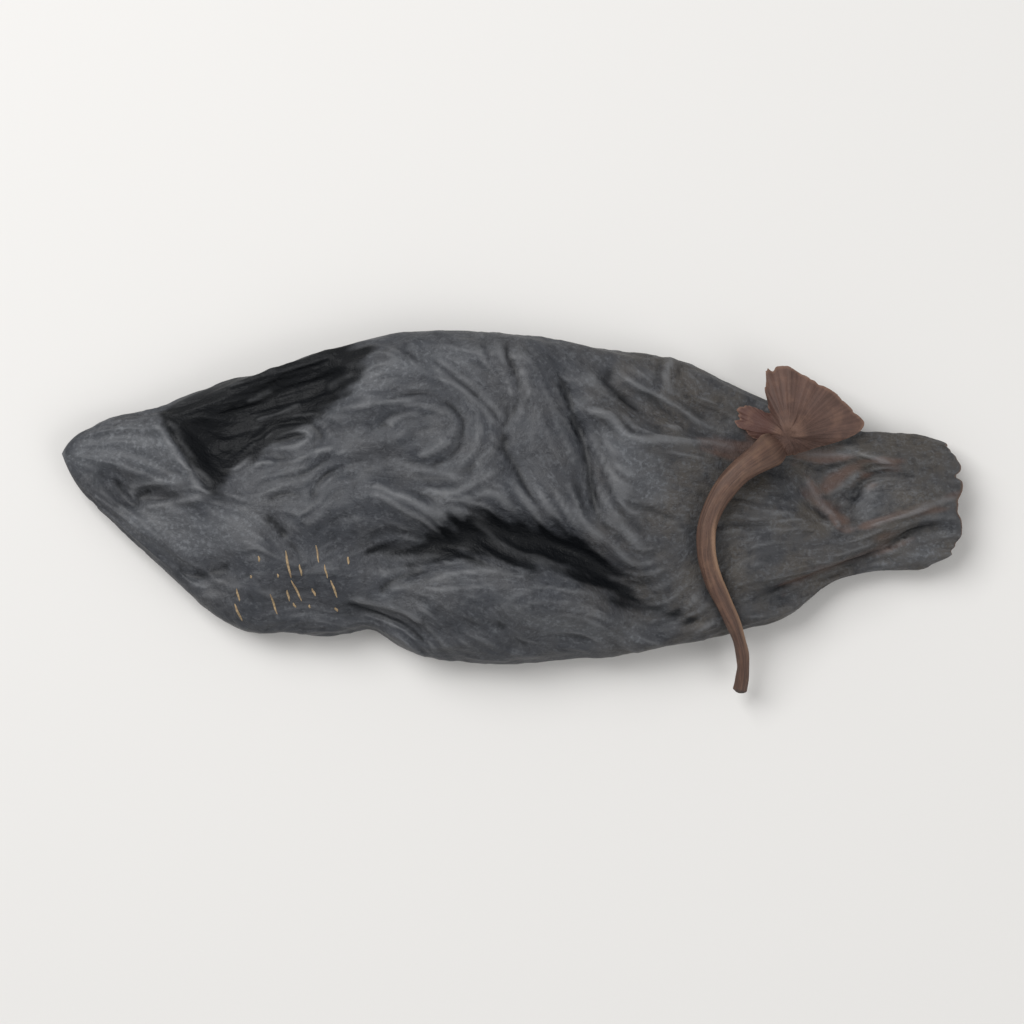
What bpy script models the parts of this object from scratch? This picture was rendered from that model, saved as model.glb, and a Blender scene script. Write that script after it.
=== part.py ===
"""A dried pasilla pepper lying on a table: a pressed, creased pod with a torn mouth, its calyx and its stem.

The tip points to -X and the torn mouth to +X. The pod is a ball drawn out along X: each of its rings
becomes a section between an upper and a lower edge in plan, with a crown above and the table below. Folds
are laid into its skin along lines drawn in plan. Shapes are worked out in millimetres and given to Blender
in metres.
"""

import math

import bmesh
import bpy
import numpy as np
from mathutils import Vector, noise

MM = 0.001
CLEARANCE = 0.3  # between neighbouring pieces
FAR_ABOVE = 1000.0  # stands for no limit on a height
ORIGIN = (0.1, -1.3)  # the middle of the pepper's box in plan, where the part's origin goes

# Pod: its outline in plan, as (x, y) from tip to mouth
UPPER_EDGE = [
    (-58.6, 7.9), (-52.7, 10.5), (-45.2, 12.3), (-35.2, 15.8), (-22.5, 19.8), (-10.6, 22.2), (1.3, 21.9),
    (9.3, 20.6), (21.2, 18.2), (32.3, 13.6), (40.0, 10.6), (46.4, 9.0), (54.0, 8.5), (58.6, 7.6),
]
LOWER_EDGE = [
    (-58.6, 4.8), (-56.4, 2.0), (-49.6, -4.7), (-42.1, -11.3), (-35.4, -16.4), (-28.4, -17.2), (-22.0, -17.4),
    (-18.1, -16.3), (-14.4, -18.8), (-5.3, -20.6), (9.3, -20.1), (25.2, -18.0), (36.3, -14.2), (42.1, -10.2),
    (47.4, -9.2), (53.0, -8.8), (58.6, -8.5),
]
# Pod: height of its crown, and of its rim where top and underside meet, as (x, z)
CROWN = [
    (-58.6, 3.4), (-50.0, 5.8), (-38.0, 7.6), (-24.0, 9.6), (-8.0, 11.3), (8.0, 11.0), (20.0, 9.6),
    (34.0, 8.2), (46.0, 6.6), (58.6, 5.6),
]
RIM = [(-58.6, 2.6), (-45.0, 3.0), (-20.0, 3.8), (15.0, 3.9), (36.0, 3.4), (58.6, 2.9)]

TIP_X = UPPER_EDGE[0][0]
TIP_ROUNDING = 1.8
TOP_FULLNESS = 0.72  # exponent of a section above its rim: the lower, the boxier
UNDER_FULLNESS = 0.62
UNDER_LIFT = 0.3  # how far the underside's middle is off the table, before its wrinkles reach down to it
RIM_SLACK = 0.2  # how far a fold may press the top below the rim, or the underside above it
HALF_THICKNESS = 0.95  # the least that folds leave on each side of the rim
POD_RINGS = 80
POD_SEGMENTS = 68
TOP_SHARE = 0.62  # of the segments, those that go to the top
RING_CROWDING = 0.35  # how much closer the rings are at the tip

# Mouth: the torn end, where the skin shows its thickness
MOUTH_X = 58.0
MOUTH_DEPTH = 11.0
MOUTH_HALF_THICKNESS = 1.25
MOUTH_FADE = 20.0  # the wrinkles die out over this length,
MOUTH_MARGIN = 4.2  # which ends this far beyond the mouth
SKIN = 0.85
LIP_RING = 0.86  # share of the rings that are outside the mouth
INSIDE_RING = 0.885  # share of the rings up to the first one inside it
SLIT = (0.0, 0.25, 0.7)  # how much the hollow narrows towards its inner end, along X, Y and Z
TEAR_REACH = 15.0  # how far back the tear pulls the sections
TEAR_CORNERS = (1.5, 4.4)  # how much shorter the skin is at the upper and the lower corner of the mouth
TEAR_ROUGHNESS = 0.7

# Folds in the top of the pod: depth (a ridge's is negative), half-width, and the line in plan
TOP_FOLDS = {
    "long valley": (3.5, 2.8, [
        (-24.0, -7.6), (-17.6, -6.0), (-13.0, -6.3), (-8.4, -5.2), (-4.0, -4.3), (1.0, -4.6), (6.0, -5.8),
        (11.0, -8.2), (15.0, -11.4), (18.5, -13.5), (25.1, -15.8)]),
    "lip of the valley": (-1.0, 2.4, [
        (-12.0, -1.0), (-5.5, 0.4), (2.0, 0.2), (8.0, -1.4), (13.5, -4.6), (18.5, -9.0)]),
    "lower lobe": (-1.3, 3.6, [(-14.0, -12.2), (-5.0, -12.6), (6.0, -13.0), (14.0, -15.4)]),
    "sunken corner": (2.7, 4.2, [(-41.5, 5.0), (-36.0, 8.6), (-28.0, 13.2), (-20.0, 17.2)]),
    "edge of the corner": (-0.9, 1.7, [(-46.4, 11.4), (-42.4, 6.6), (-38.2, 0.4)]),
    "rolled edge": (-0.8, 1.6, [(-46.0, 11.6), (-38.0, 14.0), (-29.6, 17.6), (-20.0, 20.0)]),
    "tip dent": (1.3, 1.8, [(-54.0, 4.0), (-51.6, 2.0), (-49.2, -0.4), (-45.4, 1.0), (-41.5, 1.8)]),
    "tip crease": (0.8, 1.8, [(-45.5, -7.8), (-41.6, -9.6), (-38.3, -8.9), (-32.0, -8.0)]),
    "outer arc": (1.0, 1.7, [
        (-17.0, 20.0), (-9.5, 18.4), (-4.4, 14.1), (-0.8, 10.0), (-0.6, 7.2), (1.4, 2.6), (3.6, -1.6)]),
    "inner arc": (0.9, 1.7, [
        (-18.0, 14.2), (-11.0, 14.4), (-6.2, 11.0), (-5.6, 6.4), (-8.0, 3.4), (-14.7, 4.6), (-20.6, 3.4)]),
    "heart of the arcs": (0.7, 1.6, [(-19.0, 9.6), (-14.4, 10.6), (-10.0, 8.8)]),
    "middle ridge": (-0.8, 1.6, [(-19.6, 2.4), (-15.4, 0.9), (-12.0, -0.8), (-8.7, -3.4)]),
    "crease down the hump": (1.4, 1.7, [
        (3.4, 21.0), (5.7, 17.2), (8.0, 12.2), (9.4, 7.2), (10.2, 1.2), (12.0, -3.4), (14.5, -7.5)]),
    "raised facet": (-0.9, 3.0, [(13.0, 9.0), (13.4, 4.0), (14.4, -1.0)]),
    "upper fold": (1.3, 1.7, [(10.0, 18.0), (14.2, 14.9), (18.9, 12.2), (25.9, 9.5), (30.0, 7.6)]),
    "short upper fold": (0.9, 1.6, [(20.5, 18.0), (20.8, 14.5), (24.0, 11.4), (28.2, 9.6)]),
    "ridge of the upper fold": (-0.9, 1.6, [(9.2, 12.4), (13.0, 10.6), (18.0, 8.6), (25.0, 7.6)]),
    "left loop": (0.9, 1.7, [
        (-31.5, 2.6), (-29.0, 7.4), (-25.4, 8.6), (-24.5, 5.0), (-22.2, 2.4), (-25.9, -0.6)]),
    "left dent": (0.9, 1.7, [(-31.4, -1.7), (-29.0, -4.6), (-25.0, -5.4), (-20.0, -3.4)]),
    "hollow by the calyx": (1.8, 1.8, [(33.0, 3.2), (36.5, 4.8), (41.5, 5.2), (45.4, 4.2)]),
    "crease of the hollow": (1.0, 1.6, [(47.5, 4.4), (45.3, 3.0), (43.6, 0.4), (42.0, -2.6)]),
    "shoulder ridge": (-1.0, 1.6, [(38.6, 7.4), (43.4, 6.9), (49.6, 4.9), (54.0, 3.6)]),
    "flap crease": (1.4, 1.6, [
        (30.0, -13.8), (36.0, -11.6), (41.4, -9.6), (46.5, -6.8), (52.0, -4.2), (58.6, -3.0)]),
    "flap ridge": (-1.3, 1.6, [
        (31.0, -11.2), (37.0, -8.8), (42.0, -6.8), (47.0, -4.2), (52.0, -1.8), (58.6, -0.6)]),
    "second flap ridge": (-0.7, 1.6, [(44.6, -1.6), (49.0, 0.0), (53.0, 1.4), (58.6, 2.6)]),
    "notch crease": (1.6, 1.6, [(-17.8, -17.2), (-20.4, -14.8), (-25.0, -13.2), (-31.0, -12.0)]),
    "notch fold": (1.1, 1.6, [
        (-22.2, -12.4), (-19.3, -13.6), (-15.9, -14.9), (-13.0, -16.4), (-10.0, -19.2)]),
    "lobe crease": (0.8, 1.6, [(-18.6, -11.5), (-15.0, -10.2), (-9.0, -9.4)]),
    "lobe line": (0.8, 1.6, [(-5.0, -16.0), (3.0, -17.4), (11.0, -17.6)]),
}
# Folds in the underside, of the same form
UNDER_FOLDS = {
    "under valley": (2.6, 3.2, [(-38.0, 4.0), (-22.0, 7.6), (-6.0, 8.4), (9.0, 7.0), (26.0, 4.6)]),
    "under furrow": (2.2, 2.6, [(-34.0, -8.0), (-18.0, -9.6), (-2.0, -11.6), (14.0, -12.2), (28.0, -9.2)]),
    "under cross fold": (1.6, 2.0, [(2.0, 17.0), (4.6, 11.0), (3.0, 2.0), (-3.0, -8.0)]),
    "second cross fold": (1.3, 1.8, [(-18.0, 17.0), (-15.0, 10.0), (-19.0, 2.0)]),
    "under tip fold": (1.5, 2.0, [(-53.0, 5.0), (-45.0, 2.6), (-36.0, -2.0)]),
    "under shoulder fold": (1.6, 2.0, [(58.6, 1.0), (49.0, 0.6), (39.0, -1.0), (29.0, -2.4)]),
    "under flap fold": (1.2, 1.6, [(56.0, -4.6), (47.0, -5.4), (36.0, -8.6)]),
    "under edge fold": (1.2, 1.8, [(14.0, 15.6), (24.0, 12.4), (36.0, 8.0), (46.0, 5.4)]),
}
FOLD_END = 0.16  # share of a fold's length over which it dies out, at each end

# Wrinkles over all of the skin, lengthwise: height, repeats round the pod, and the length of one
WRINKLES = [(0.95, 2.6, 24.0), (0.62, 6.2, 13.0)]
RIDGE_SHARPNESS = 1.6
RIDGE_LEVEL = 0.36  # the mean of the ridged noise, taken off so that it neither swells nor shrinks the pod
TIP_FADE = 11.0  # the wrinkles die out over this length of the tip
UNDER_WRINKLE = 1.3  # their height on the underside and at the rim, against that on the top
RIM_WRINKLE = 0.8

# Stem: (x, y, z, radius) from the calyx to the cut end
STEM_PATH = [
    (35.4, 8.0, 9.5, 1.95), (32.4, 6.1, 10.2, 1.95), (29.2, 3.9, 10.5, 1.8), (26.6, 0.9, 10.6, 1.6),
    (25.0, -2.8, 10.4, 1.42), (24.9, -6.6, 10.0, 1.34), (25.8, -10.0, 9.3, 1.28), (27.3, -13.2, 8.3, 1.14),
    (28.9, -16.6, 7.0, 1.0), (29.9, -19.9, 5.4, 0.92), (30.0, -22.6, 3.8, 0.94), (29.7, -24.6, 3.1, 1.1),
]
STEM_STEPS = 4  # rings of the stalk between two points of its path
STEM_ROUNDNESS = 4  # the curve's bevel resolution
STEM_FLUTES = 5
FLUTE_DEPTH = 0.12
FLUTE_TWIST = 5.0  # radians, from root to cut end

# Calyx: a pleated dish under the stem's root, its rim given as (degrees, radius)
CALYX_HUB = (35.2, 8.4, 7.7)
CALYX_RIM = [
    (-62.0, 2.7), (-32.0, 3.5), (-15.0, 4.9), (-4.0, 7.4), (4.0, 10.0), (9.5, 10.7), (17.0, 9.8),
    (29.0, 9.1), (41.0, 8.7), (58.0, 8.2), (75.0, 8.5), (91.0, 9.4), (101.0, 9.2), (108.0, 9.0),
    (114.0, 6.6), (121.0, 4.1), (130.0, 4.4), (141.0, 6.6), (152.0, 7.2), (163.0, 6.9), (172.0, 5.8),
    (183.0, 4.4), (205.0, 3.0), (240.0, 2.7),
]
# How far the dish droops from hub to rim, as (degrees, fall)
CALYX_FALL = [(-24.0, 1.5), (10.0, 1.2), (60.0, 1.3), (100.0, 1.7), (150.0, 1.0), (205.0, 0.6), (270.0, 0.6)]
CALYX_RIM_THICKNESS = 0.85
CALYX_HUB_THICKNESS = 3.2
CALYX_HUB_SHARE = 0.6  # of its radius, over which it thins from hub to rim
CALYX_PLEATS = 17
PLEAT_HEIGHT = 0.14
CALYX_RINGS = 14
CALYX_SEGMENTS = 72

# Base colour and roughness
FINISHES = {
    "pod": ((0.020, 0.019, 0.021), 0.42),
    "calyx": ((0.115, 0.060, 0.038), 0.68),
    "stem": ((0.150, 0.082, 0.048), 0.62),
}


def interpolated(points, at):
    """A smooth curve through (x, y) points with rising x, read at each value of at."""
    x, y = np.array(points, float).T
    slope = np.gradient(y, x)
    at = np.clip(at, x[0], x[-1])
    k = np.clip(np.searchsorted(x, at) - 1, 0, len(x) - 2)
    width = x[k + 1] - x[k]
    s = (at - x[k]) / width
    return (
        (2 * s**3 - 3 * s**2 + 1) * y[k]
        + (s**3 - 2 * s**2 + s) * width * slope[k]
        + (3 * s**2 - 2 * s**3) * y[k + 1]
        + (s**3 - s**2) * width * slope[k + 1]
    )


def round_the_hub(points, degrees):
    """A smooth closed curve of a value against an angle, read at each of degrees."""
    lap = sorted((angle % 360.0, value) for angle, value in points)
    laps = [(angle + turn, value) for turn in (-360.0, 0.0, 360.0) for angle, value in lap]
    return interpolated(laps, np.asarray(degrees) % 360.0)


def spline_through(points, per_span=6):
    """Points close together on a smooth line through a few, in any number of dimensions."""
    columns = np.array(points, float).T
    place = range(len(points))
    fine = np.linspace(0, len(points) - 1, per_span * (len(points) - 1) + 1)
    return np.stack([interpolated(list(zip(place, column)), fine) for column in columns], axis=1)


def nearest_on(line, x, y):
    """For each (x, y), its distance to a line in plan, and where on the line it is nearest, from 0 to 1."""
    start, step = line[:-1, :2], np.diff(line[:, :2], axis=0)
    offset = np.stack([x, y], axis=-1)[:, None, :] - start
    share = np.clip((offset * step).sum(-1) / (step**2).sum(-1), 0, 1)
    distance = np.linalg.norm(offset - share[..., None] * step, axis=-1)
    best = distance.argmin(axis=1)
    rows = np.arange(len(x))
    return distance[rows, best], (best + share[rows, best]) / len(step)


def ease(value):
    """0 below 0, 1 above 1, and a smooth step between."""
    value = np.clip(value, 0, 1)
    return value * value * (3 - 2 * value)


def fold_depth(folds, x, y):
    """How far the folds press the skin in at each (x, y). Each dies out at its two ends."""
    total = np.zeros(len(x))
    for depth, half_width, points in folds.values():
        distance, share = nearest_on(spline_through(points), x, y)
        across = np.exp(-((distance / half_width) ** 2))
        total += depth * across * ease(share / FOLD_END) * ease((1 - share) / FOLD_END)
    return total


def ridged_noise(x, turn, repeats, length):
    """Noise with sharp crests, drawn out along x and going round the pod without a seam."""
    found = np.empty(len(x))
    for i, angle in enumerate(turn):
        place = Vector((x[i] / length, repeats * math.cos(angle) / 2, repeats * math.sin(angle) / 2))
        bend = noise.noise(place * 0.6 + Vector((7.3, 1.1, 4.9)))
        place += Vector((0.0, bend * 1.1, bend * 0.8))
        found[i] = 1 - min(1.0, 2.2 * abs(noise.noise(place)))
    return found**RIDGE_SHARPNESS


def wrinkle_height(x, turn):
    """Height of the wrinkles over the smooth skin, fading at the tip and at the mouth."""
    height = np.zeros(len(x))
    for size, repeats, length in WRINKLES:
        height += size * (ridged_noise(x, turn, repeats, length) - RIDGE_LEVEL)
    to_mouth = ease((MOUTH_X + MOUTH_MARGIN - x) / MOUTH_FADE)
    return height * ease((x - TIP_X) / TIP_FADE) * np.sqrt(to_mouth)


def stem_underside(x, y):
    """Height that keeps clear under the stem at each (x, y), and no limit where the stem isn't above."""
    line = spline_through(STEM_PATH)
    distance, share = nearest_on(line, x, y)
    place, index = share * (len(line) - 1), np.arange(len(line))
    reach = np.interp(place, index, line[:, 3]) + CLEARANCE + FLUTE_DEPTH
    inside = np.sqrt(np.clip(reach**2 - distance**2, 0, None))
    groove_side = 1.2 * np.clip(distance - 0.7 * reach, 0, None) ** 1.4
    height = np.interp(place, index, line[:, 2]) - inside + groove_side
    return np.where(distance < 3 * reach, height, FAR_ABOVE)


def calyx_sheet(x, y):
    """Height of the calyx's middle, its half thickness and the share of its radius, at each (x, y)."""
    dx, dy = x - CALYX_HUB[0], y - CALYX_HUB[1]
    degrees = np.degrees(np.arctan2(dy, dx))
    share = np.hypot(dx, dy) / round_the_hub(CALYX_RIM, degrees)
    fall = round_the_hub(CALYX_FALL, degrees) * share**1.5
    hub = 1 - ease(share / CALYX_HUB_SHARE)
    half = (CALYX_RIM_THICKNESS + (CALYX_HUB_THICKNESS - CALYX_RIM_THICKNESS) * hub) / 2
    return CALYX_HUB[2] - fall, half, share


def calyx_underside(x, y):
    """Height that keeps clear under the calyx at each (x, y), rising again beyond its rim."""
    middle, half, share = calyx_sheet(x, y)
    distance = np.hypot(x - CALYX_HUB[0], y - CALYX_HUB[1])
    beyond = distance - distance / np.maximum(share, 0.01)
    bank = 0.55 * np.clip(beyond - 0.6, 0, None) ** 1.25
    return np.where(beyond < 9.0, middle - half - PLEAT_HEIGHT - CLEARANCE + bank, FAR_ABOVE)


def tear(x, turn):
    """How far the tear moves a section along x: the mouth's edge is ragged and cut back at its corners."""
    ragged = np.empty(len(turn))
    for i, angle in enumerate(turn):
        place = Vector((3.1 * math.cos(angle), 3.1 * math.sin(angle), 0.4))
        ragged[i] = noise.noise(place * 1.1) + 0.8 * noise.noise(place * 2.7)
    corner = -np.where(np.cos(turn) > 0, *TEAR_CORNERS) * np.abs(np.cos(turn)) ** 7
    return (corner + TEAR_ROUGHNESS * ragged) * ease((x - MOUTH_X + TEAR_REACH) / TEAR_REACH)


def pod_skin(x, turn):
    """Points on the pod's outer skin in the sections at x. Turn goes round each section: it is 0 at the upper
    edge, a quarter turn at the crown, and three quarters at the table."""
    upper, lower = interpolated(UPPER_EDGE, x), interpolated(LOWER_EDGE, x)
    rim, crown = interpolated(RIM, x), interpolated(CROWN, x)
    rise, rounding = np.abs(np.sin(turn)), np.sqrt(np.clip((x - TIP_X) / TIP_ROUNDING, 0, 1))
    wrinkles = wrinkle_height(x, turn)
    inland = ease(rise * 1.5)
    y = (upper + lower) / 2 + (upper - lower) / 2 * np.cos(turn) * rounding
    mouth = ease((x - MOUTH_X + MOUTH_DEPTH + 6.0) / 8.0)
    slack = RIM_SLACK * (1 - mouth)
    least = (HALF_THICKNESS + (MOUTH_HALF_THICKNESS - HALF_THICKNESS) * mouth) * rise
    above = rim + (crown - rim) * rise**TOP_FULLNESS * rounding
    above += (wrinkles - fold_depth(TOP_FOLDS, x, y)) * inland
    above = np.maximum(above, rim - slack + least)
    above = np.minimum(above, np.minimum(stem_underside(x, y), calyx_underside(x, y)))
    below = rim - (rim - UNDER_LIFT) * rise**UNDER_FULLNESS * rounding
    below += (fold_depth(UNDER_FOLDS, x, y) - UNDER_WRINKLE * wrinkles) * inland
    below = np.clip(below, 0, rim + slack - least)
    y += RIM_WRINKLE * wrinkles * np.cos(turn) * (1 - ease(rise * 1.2))
    return np.stack([x + tear(x, turn), y, np.where(np.sin(turn) >= 0, above, below)], axis=-1)


def pod_points(along, turn):
    """Points on the pod, from its tip, where along is 0, over the skin to the torn lip, and back inside the
    mouth to the hollow's end, where along is 1."""
    outside = np.clip(along / LIP_RING, 0, 1)
    crowded = outside - RING_CROWDING * outside * (1 - outside) ** 2
    back = np.clip((along - INSIDE_RING) / (1 - INSIDE_RING), 0, 1)
    x = TIP_X + (MOUTH_X - TIP_X) * crowded - MOUTH_DEPTH * back
    points = pod_skin(x, turn)
    upper, lower = interpolated(UPPER_EDGE, x), interpolated(LOWER_EDGE, x)
    centre = np.stack([points[:, 0], (upper + lower) / 2, interpolated(RIM, x)], axis=-1)
    half_height = np.abs(points[:, 2] - centre[:, 2])
    half = np.stack([np.full(len(x), FAR_ABOVE), (upper - lower) / 2, half_height], axis=-1)
    kept = np.clip(1 - SKIN / np.maximum(half, 0.01), 0.06, 1)
    back = back[:, None]
    narrowing = np.where(back < 1, 1 - back**2 * np.array(SLIT), (1.0, 0.0, 0.0))
    hollow = centre + (points - centre) * kept * narrowing
    within = ease((along - LIP_RING) / (INSIDE_RING - LIP_RING))[:, None]
    return points + (hollow - points) * within


def closed_ball(rings, segments):
    """A ball primitive, and for each vertex its place from one pole to the other (0 to 1) and its turn."""
    ball = bmesh.new()
    bmesh.ops.create_uvsphere(ball, u_segments=segments, v_segments=rings, radius=1.0)
    at = np.array([vertex.co for vertex in ball.verts])
    along = np.round(np.arccos(np.clip(at[:, 2], -1, 1)) / math.pi * rings) / rings
    turn = np.arctan2(at[:, 1], at[:, 0]) % (2 * math.pi)
    return ball, along, turn


def finished(name, shape, points, collection):
    """The named object: the shape with its vertices at points, given in millimetres, and its own material."""
    for vertex, (x, y, z) in zip(shape.verts, points.tolist()):
        vertex.co = Vector((x - ORIGIN[0], y - ORIGIN[1], z)) * MM
    bmesh.ops.recalc_face_normals(shape, faces=shape.faces)
    mesh = bpy.data.meshes.new(name)
    shape.to_mesh(mesh)
    shape.free()
    mesh.shade_smooth()
    mesh.materials.append(finish(name))
    made = bpy.data.objects.new(name, mesh)
    collection.objects.link(made)
    return made


def finish(name):
    """A plain material in the piece's own colour and roughness."""
    colour, roughness = FINISHES[name]
    material = bpy.data.materials.new(name)
    material.use_nodes = True
    shader = material.node_tree.nodes["Principled BSDF"]
    shader.inputs["Base Color"].default_value = (*colour, 1.0)
    shader.inputs["Roughness"].default_value = roughness
    return material


def make_pod(collection):
    """The pod: one closed skin from tip to torn mouth, low where it rests."""
    ball, along, turn = closed_ball(POD_RINGS, POD_SEGMENTS)
    lap = turn / (2 * math.pi)
    on_top = math.pi * lap / TOP_SHARE
    under = math.pi * (1 + (lap - TOP_SHARE) / (1 - TOP_SHARE))
    return finished("pod", ball, pod_points(along, np.where(lap < TOP_SHARE, on_top, under)), collection)


def make_calyx(collection):
    """The calyx: a pleated dish, thick at its hub and thin at its rim, pressed in under the stem's root."""
    ball, along, turn = closed_ball(CALYX_RINGS, CALYX_SEGMENTS)
    share = np.sin(along * math.pi) ** 0.8
    radius = share * round_the_hub(CALYX_RIM, np.degrees(turn))
    x, y = CALYX_HUB[0] + radius * np.cos(turn), CALYX_HUB[1] + radius * np.sin(turn)
    middle, half, _ = calyx_sheet(x, y)
    side = np.cos(along * math.pi)
    seat = np.where(side > 0, np.clip(middle + half - stem_underside(x, y), 0, None), 0)
    pleat = PLEAT_HEIGHT * np.cos(CALYX_PLEATS * turn) * share**2
    z = middle + half * np.sign(side) * np.abs(side) ** 0.35 + pleat - seat
    return finished("calyx", ball, np.stack([x, y, z], axis=-1), collection)


def stalk_mesh(line):
    """A closed tube mesh along (x, y, z, radius) points, in the points' own unit."""
    curve = bpy.data.curves.new("stalk", "CURVE")
    curve.dimensions = "3D"
    curve.bevel_depth = 1.0
    curve.bevel_resolution = STEM_ROUNDNESS
    curve.use_fill_caps = True
    spline = curve.splines.new("POLY")
    spline.points.add(len(line) - 1)
    for point, (x, y, z, radius) in zip(spline.points, line.tolist()):
        point.co = (x, y, z, 1.0)
        point.radius = radius
    guide = bpy.data.objects.new("stalk", curve)
    bpy.context.scene.collection.objects.link(guide)
    evaluated = guide.evaluated_get(bpy.context.evaluated_depsgraph_get())
    mesh = bpy.data.meshes.new_from_object(evaluated)
    bpy.data.objects.remove(guide)
    tube = bmesh.new()
    tube.from_mesh(mesh)
    bpy.data.meshes.remove(mesh)
    bmesh.ops.remove_doubles(tube, verts=tube.verts, dist=0.01)
    return tube


def make_stem(collection):
    """The stem: a fluted stalk that tapers along its path, from its root to its cut end."""
    line = spline_through(STEM_PATH, STEM_STEPS)
    tube = stalk_mesh(line)
    at = np.array([vertex.co for vertex in tube.verts])
    _, share = nearest_on(line, at[:, 0], at[:, 1])
    place, index = share * (len(line) - 1), np.arange(len(line))
    axis = np.stack([np.interp(place, index, line[:, k]) for k in range(3)], axis=-1)
    out = at - axis
    angle = np.arctan2(out[:, 2], out[:, 0] - out[:, 1])
    flute = FLUTE_DEPTH * (np.cos(STEM_FLUTES * angle + FLUTE_TWIST * share) - 1) / 2
    points = at + out / np.linalg.norm(out, axis=1, keepdims=True) * flute[:, None]
    return finished("stem", tube, points, collection)


def main():
    for old in list(bpy.data.objects):
        bpy.data.objects.remove(old)
    pepper = bpy.data.collections.new("dried_pasilla_pepper")
    bpy.context.scene.collection.children.link(pepper)
    make_pod(pepper)
    make_calyx(pepper)
    make_stem(pepper)


main()
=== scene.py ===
"""The looks of a dried pasilla pepper: its creased skin, its calyx and its stem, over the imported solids.

Lines and places in plan are millimetres on the table, with the tip at -X and the torn mouth at +X.
The wrinkles are waves of noise, drawn out along the flow of the folds on a grid in plan.
"""

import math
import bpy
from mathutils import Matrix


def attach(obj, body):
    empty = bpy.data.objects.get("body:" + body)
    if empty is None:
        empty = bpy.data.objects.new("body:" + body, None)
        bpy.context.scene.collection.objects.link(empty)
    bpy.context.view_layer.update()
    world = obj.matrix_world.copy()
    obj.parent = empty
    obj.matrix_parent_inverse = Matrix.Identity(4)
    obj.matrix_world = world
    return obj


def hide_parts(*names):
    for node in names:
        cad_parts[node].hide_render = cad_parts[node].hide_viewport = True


bl_info = {
    "name": "Dried pasilla pepper",
    "version": (1, 0, 0),
    "blender": (4, 5, 0),
    "location": "View3D > Sidebar > Pepper",
    "description": "Dresses a dried pasilla pepper with its creased skin, calyx and stem, on a plain stage",
    "category": "Object",
}

import bpy
import numpy as np
from mathutils import Vector

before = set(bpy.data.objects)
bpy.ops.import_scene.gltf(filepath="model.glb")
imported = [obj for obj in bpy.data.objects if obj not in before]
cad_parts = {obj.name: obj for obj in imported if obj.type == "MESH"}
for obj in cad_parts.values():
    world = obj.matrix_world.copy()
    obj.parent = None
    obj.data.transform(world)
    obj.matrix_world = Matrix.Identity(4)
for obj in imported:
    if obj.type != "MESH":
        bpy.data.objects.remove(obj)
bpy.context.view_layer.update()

MM = 0.001
ORIGIN = np.array([0.1, -1.3])  # the part's origin, in the plan that the lines below are given in
BODY = "root"
TIP_X = -58.7
MOUTH_X = 58.0

# Plan grid for the wrinkles
CELL = 0.2
GRID_X = np.arange(-62.0, 62.0, CELL)
GRID_Y = np.arange(-27.0, 27.0, CELL)
FLOW_REACH = 2.6  # how far a line turns the wrinkles beside it

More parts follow.
